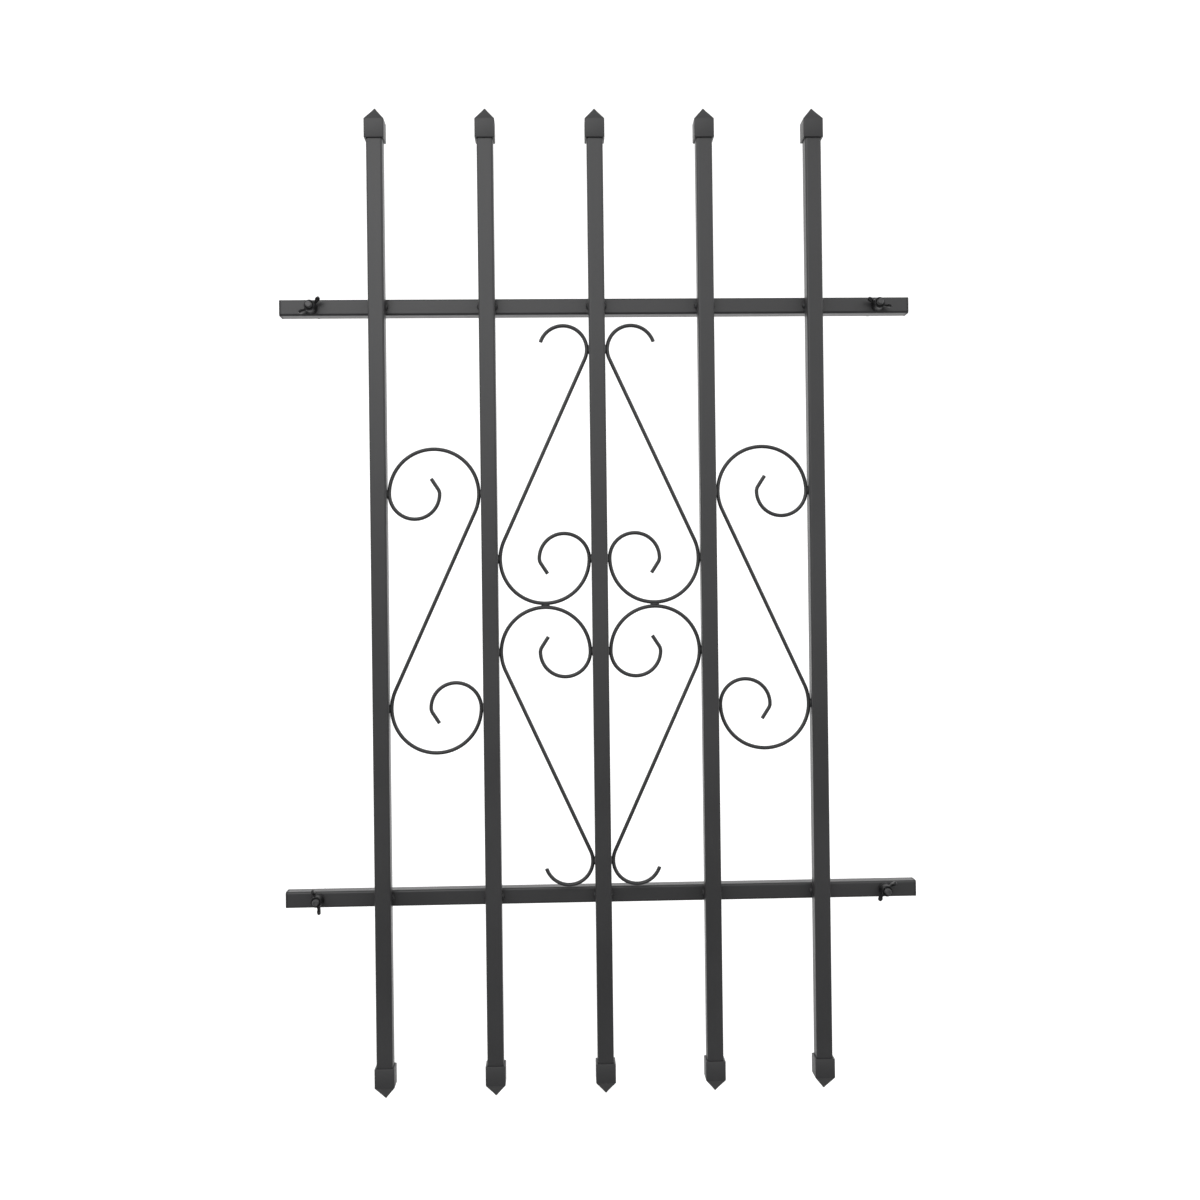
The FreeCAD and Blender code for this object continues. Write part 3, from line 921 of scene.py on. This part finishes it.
def shade(base, factor):
    """Colour made darker or lighter."""
    return tuple(min(1.0, channel * factor) for channel in base)


# Sizes of the patterns in the coatings, in lumps to a metre
DRIFT = 7.0
CLOUD = 60.0
MOTTLE = 420.0
PITS = 700.0
PEEL = 850.0
LINES = 900.0
WELD_GRAIN = 2200.0
MOULD_GRAIN = 2600.0
GRIT = 3200.0


def coat(name, base, roughness, peel):
    """Satin powder coat: slow tonal drift, orange peel about a millimetre across, and fine grit."""
    make = Maker(bpy.data.materials.new(name))
    drift = make.sharpen(make.noise(DRIFT, detail=3.0), 0.35, 0.65)
    peel_height, grit = make.noise(PEEL), make.noise(GRIT, detail=1.0)
    return make.surface({
        "Base Color": make.blend(drift, shade(base, 0.86), shade(base, 1.16)),
        "Roughness": roughness + drift * 0.05 + (grit - 0.5) * 0.12,
        "Normal": make.bump(peel_height * 0.75 + grit * 0.25, 0.12 * MM, peel),
    })


def weld_coat(name, base):
    """Coat over a weld: thinner and rougher, with pits and spatter."""
    make = Maker(bpy.data.materials.new(name))
    pits = make.sharpen(make.noise(PITS, detail=4.0), 0.42, 0.6)
    grain = make.noise(WELD_GRAIN, detail=3.0)
    return make.surface({
        "Base Color": make.blend(pits, shade(base, 0.7), shade(base, 1.2)),
        "Roughness": 0.42 + grain * 0.2,
        "Normal": make.bump(pits * 0.6 + grain * 0.4, 0.25 * MM, 0.8),
    })


def zinc(name, base, roughness, metallic):
    """Black zinc plating on steel: metallic, mottled, with fine scratches along the turning."""
    make = Maker(bpy.data.materials.new(name))
    mottle = make.sharpen(make.noise(MOTTLE, detail=4.0), 0.38, 0.66)
    lines = make.noise(LINES, place=make.coordinates((1.0, 14.0, 1.0)))
    return make.surface({
        "Base Color": make.blend(mottle, shade(base, 0.7), shade(base, 1.35)),
        "Metallic": metallic,
        "Roughness": roughness + mottle * 0.12 + (lines - 0.5) * 0.15,
        "Normal": make.bump(mottle * 0.4 + lines * 0.6, 0.08 * MM, 0.6),
    })


def moulded(name, base):
    """Matte moulded plastic with a fine spark-eroded grain."""
    make = Maker(bpy.data.materials.new(name))
    grain, cloud = make.noise(MOULD_GRAIN, detail=3.0), make.noise(CLOUD)
    return make.surface({
        "Base Color": make.blend(cloud, shade(base, 0.8), shade(base, 1.3)),
        "Roughness": 0.5 + grain * 0.12,
        "Normal": make.bump(grain, 0.08 * MM, 0.8),
    })


def coat_nodes(prefixes, material):
    """Put a material on the frame's own nodes whose names begin with one of these."""
    found = [node for name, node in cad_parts.items() if name.startswith(prefixes)]
    if not found:
        raise RuntimeError("no node begins with " + str(prefixes))
    for node in found:
        for slot in node.material_slots:
            slot.material = material


class GRILLE_OT_tubes(bpy.types.Operator):
    """Coat the bars and rails"""

    bl_idname = "grille.tubes"
    bl_label = "Bars and rails"

    def execute(self, context):
        base = context.scene.grille_colours.coat
        material = coat("tube_coat", base, roughness=0.36, peel=0.6)
        coat_nodes(("bar_", "rail_top", "rail_bottom"), material)
        return {"FINISHED"}


class GRILLE_OT_plugs(bpy.types.Operator):
    """Finish the plastic plugs in the rails' ends"""

    bl_idname = "grille.plugs"
    bl_label = "Rail plugs"

    def execute(self, context):
        coat_nodes(("rail_plug_",), moulded("plug_plastic", context.scene.grille_colours.plastic))
        return {"FINISHED"}


# Studio


def sweep_mesh(name, floor_z):
    """Floor and backdrop as one sheet: level, then a quarter circle, then upright.

    Along its length u the sheet's point is (y, z) on that outline, and it runs straight across X.
    """
    near, bend_start, radius, high, half = -6.0, 1.6, 1.4, 4.5, 14.0
    t = np.linspace(0, math.pi / 2, 33)
    y = np.concatenate([[near], bend_start + radius * np.sin(t), [bend_start + radius]])
    z = floor_z + np.concatenate([[0.0], radius * (1 - np.cos(t)), [high]])
    x = np.array([-half, half])
    points = np.stack(np.broadcast_arrays(x[None, :], y[:, None], z[:, None]), axis=-1)
    index = np.arange(len(y) * 2).reshape(-1, 2)
    quads = np.stack([index[:-1, 0], index[:-1, 1], index[1:, 1], index[1:, 0]], axis=-1)
    mesh = bpy.data.meshes.new(name)
    mesh.from_pydata(points.reshape(-1, 3).tolist(), [], quads.tolist())
    mesh.shade_smooth()
    return mesh


def air(stage):
    """Surroundings: white to look at, and a light that is brightest in a band above the horizon,
    dimmer overhead and below."""
    make = Maker(bpy.data.worlds.new("studio_air"))
    direction = make.node("ShaderNodeTexCoord").outputs["Generated"]
    height = Value(make, make.node("ShaderNodeSeparateXYZ", None, {0: direction}).outputs[2])
    levels = [(0.43, stage.ground_share), (0.57, 1.0), (0.80, 1.0), (0.95, stage.overhead_share)]
    tone = make.node("ShaderNodeValToRGB", {"stops": levels}, {0: height * 0.5 + 0.5}).outputs[0]
    sockets = {"Color": tone, "Strength": stage.sky_light}
    light = make.node("ShaderNodeBackground", None, sockets).outputs[0]
    sockets = {"Color": (1, 1, 1, 1), "Strength": 1.0}
    seen = make.node("ShaderNodeBackground", None, sockets).outputs[0]
    make.node("ShaderNodeOutputWorld", None, {"Surface": make.seen_or_light(seen, light)})
    return make.owner


# How far behind the mounting plane the floor starts to give back light, and gives all of it
FADE_START, FADE_END = -0.4, 1.2


def floor_coat(base, stage):
    """Pale floor: evenly pale to look at, while the light that it throws back fades to the front."""
    make = Maker(bpy.data.materials.new("pale_floor"))
    depth = Value(make, make.node("ShaderNodeSeparateXYZ", None, {0: make.coordinates()}).outputs[1])
    lit = make.sharpen((depth - FADE_START) * (1 / (FADE_END - FADE_START)), 0.0, 1.0)
    glow = [stage.floor_glow] * 3
    seen = make.principled({
        "Base Color": (*base, 1), "Roughness": 0.75, "Emission Color": (*glow, 1),
        "Emission Strength": 1.0,
    })
    light = make.principled({
        "Base Color": make.blend(lit, shade(base, stage.ground_share), base),
        "Roughness": 0.75,
        "Emission Color": make.blend(lit, shade(glow, stage.ground_share), glow),
        "Emission Strength": 1.0,
    })
    make.node("ShaderNodeOutputMaterial", None, {"Surface": make.seen_or_light(seen, light)})
    return make.owner


KEY_PLACE, KEY_TARGET = (-0.9, -2.7, 1.5), (-0.1, 0, 0.2)
SIDE_PLACE = (2.2, -1.6, 0.9)


def add_softbox(name, power, size, place, target):
    """Square softbox at a place, facing a target."""
    light = bpy.data.lights.new(name, "AREA")
    light.shape, light.size, light.energy = "SQUARE", size, power
    lamp = bpy.data.objects.new(name, light)
    lamp.location = place
    lamp.rotation_euler = (Vector(target) - Vector(place)).to_track_quat("-Z", "Y").to_euler()
    bpy.context.scene.collection.objects.link(lamp)


def add_floor(scene, stage, floor_z):
    """Floor and backdrop, which aren't part of the object."""
    floor = bpy.data.objects.new("studio_floor", sweep_mesh("studio_floor", floor_z))
    floor.data.materials.append(floor_coat(scene.grille_colours.floor, stage))
    scene.collection.objects.link(floor)


def add_camera(scene, stage, aim, height):
    """Camera at the stage's distance and angles from its aim, with a lens that lets a thing of
    this height fill the stage's share of the picture."""
    flat = math.cos(stage.elevation)
    side, ahead = math.sin(stage.azimuth) * flat, -math.cos(stage.azimuth) * flat
    camera = bpy.data.objects.new("camera", bpy.data.cameras.new("camera"))
    camera.location = aim + Vector((side, ahead, math.sin(stage.elevation))) * stage.distance
    look = (aim - camera.location).to_track_quat("-Z", "Y").to_matrix()
    camera.rotation_euler = (look @ Matrix.Rotation(stage.roll, 3, "Z")).to_euler()
    camera.data.lens = camera.data.sensor_width * stage.fill * stage.distance / height
    camera.data.clip_end = 50
    scene.collection.objects.link(camera)
    scene.camera = camera


class GRILLE_OT_stage(bpy.types.Operator):
    """Set the camera, the pale floor and the soft light"""

    bl_idname = "grille.stage"
    bl_label = "Studio"

    def execute(self, context):
        scene, stage = context.scene, context.scene.grille_stage
        low, high = (Vector(corner) for corner in cad_box)
        add_floor(scene, stage, low.z - stage.floor_drop)
        scene.world = air(stage)
        add_softbox("key_softbox", stage.key_power, size=2.0, place=KEY_PLACE, target=KEY_TARGET)
        add_softbox("side_softbox", stage.side_power, size=1.4, place=SIDE_PLACE, target=(0, 0, 0))
        scene.view_settings.view_transform = "Standard"
        add_camera(scene, stage, Vector((0, BAR_Y, (low.z + high.z) / 2)), high.z - low.z)
        return {"FINISHED"}


STEPS = (
    GRILLE_OT_tubes, GRILLE_OT_plugs, GRILLE_OT_caps, GRILLE_OT_scrolls, GRILLE_OT_welds,
    GRILLE_OT_studs, GRILLE_OT_washers, GRILLE_OT_wing_nuts, GRILLE_OT_stage,
)


class GRILLE_PT_panel(bpy.types.Panel):
    """Steps of the grille in the order that they run"""

    bl_idname = "GRILLE_PT_panel"
    bl_label = "Window grille"
    bl_space_type = "VIEW_3D"
    bl_region_type = "UI"
    bl_category = "Grille"

    def draw(self, context):
        for step in STEPS:
            self.layout.operator(step.bl_idname)
        for group in ("grille_sizes", "grille_colours", "grille_stage"):
            values = getattr(context.scene, group)
            box = self.layout.box()
            for name in values.__annotations__:
                box.prop(values, name)


CLASSES = (GrilleSizes, GrilleColours, GrilleStage, *STEPS, GRILLE_PT_panel)


def register():
    for cls in CLASSES:
        bpy.utils.register_class(cls)
    bpy.types.Scene.grille_sizes = PointerProperty(type=GrilleSizes)
    bpy.types.Scene.grille_colours = PointerProperty(type=GrilleColours)
    bpy.types.Scene.grille_stage = PointerProperty(type=GrilleStage)


def unregister():
    del bpy.types.Scene.grille_stage
    del bpy.types.Scene.grille_colours
    del bpy.types.Scene.grille_sizes
    for cls in reversed(CLASSES):
        bpy.utils.unregister_class(cls)


def main():
    """Make every piece and the studio."""
    register()
    for step in STEPS:
        group, name = step.bl_idname.split(".")
        getattr(getattr(bpy.ops, group), name)()


if __name__ == "__main__":
    main()
